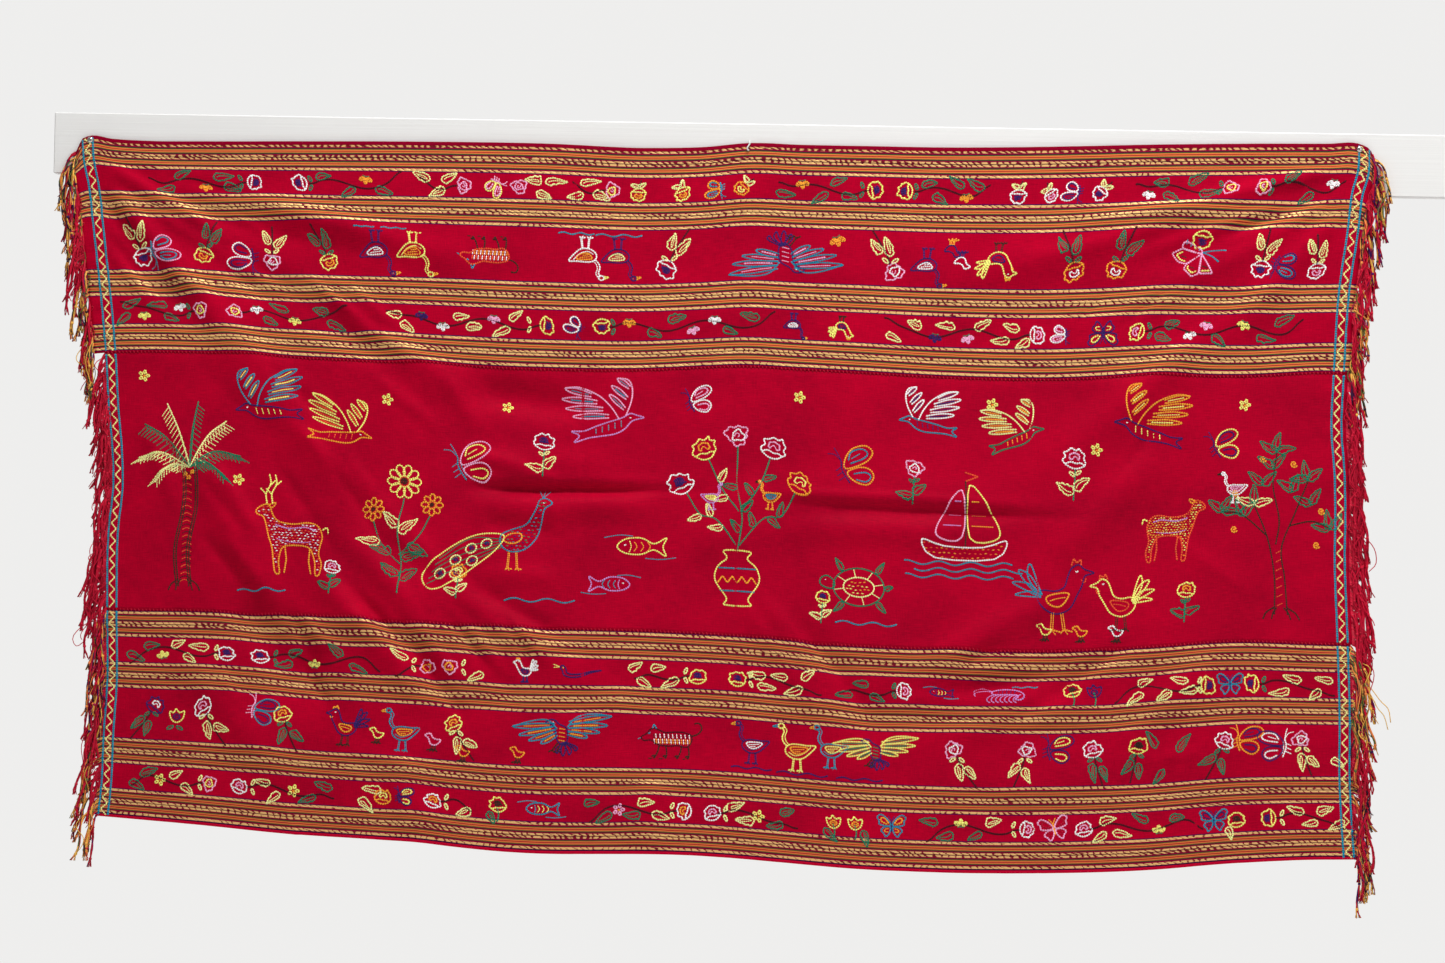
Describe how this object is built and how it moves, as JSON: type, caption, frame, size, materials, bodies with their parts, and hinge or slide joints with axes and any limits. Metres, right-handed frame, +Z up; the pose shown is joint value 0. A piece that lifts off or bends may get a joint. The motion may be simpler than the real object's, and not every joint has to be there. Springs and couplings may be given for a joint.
{
  "type": "narrative story cloth pinned to a hanging rail",
  "caption": "Striped three-panel woven story cloth with knotted end fringes, hung in soft folds from pins on a flat white wall rail.",
  "frame": {"origin": "middle of the rail's back face, which lies flat on the wall", "axes": "+Y into the wall and square to the rail's back face, +X to the viewer's right along the rail, +Z up"},
  "size_m": [2.1666, 0.065, 1.1627],
  "materials": {
    "woven_cloth": "hand-woven red cotton with flecked gold, orange and purple warp stripes",
    "fringe_yarn": "twisted and knotted warp yarn",
    "embroidery_yarn": "chain-stitched yarn in about ten colours",
    "rail_paint": "brushed white gloss paint on planed softwood",
    "tack_steel": "polished steel",
    "hook_paint": "white coated wire"
  },
  "bodies": {
    "root": {"rail": "rail_paint", "upper_panel": "woven_cloth", "middle_panel": "woven_cloth", "lower_panel": "woven_cloth", "upper_left_fringe": "fringe_yarn", "middle_left_fringe": "fringe_yarn", "lower_left_fringe": "fringe_yarn", "upper_right_fringe": "fringe_yarn", "middle_right_fringe": "fringe_yarn", "lower_right_fringe": "fringe_yarn", "left_tack": "tack_steel", "right_tack": "tack_steel", "centre_hook": "hook_paint"}
  },
  "joints": []
}
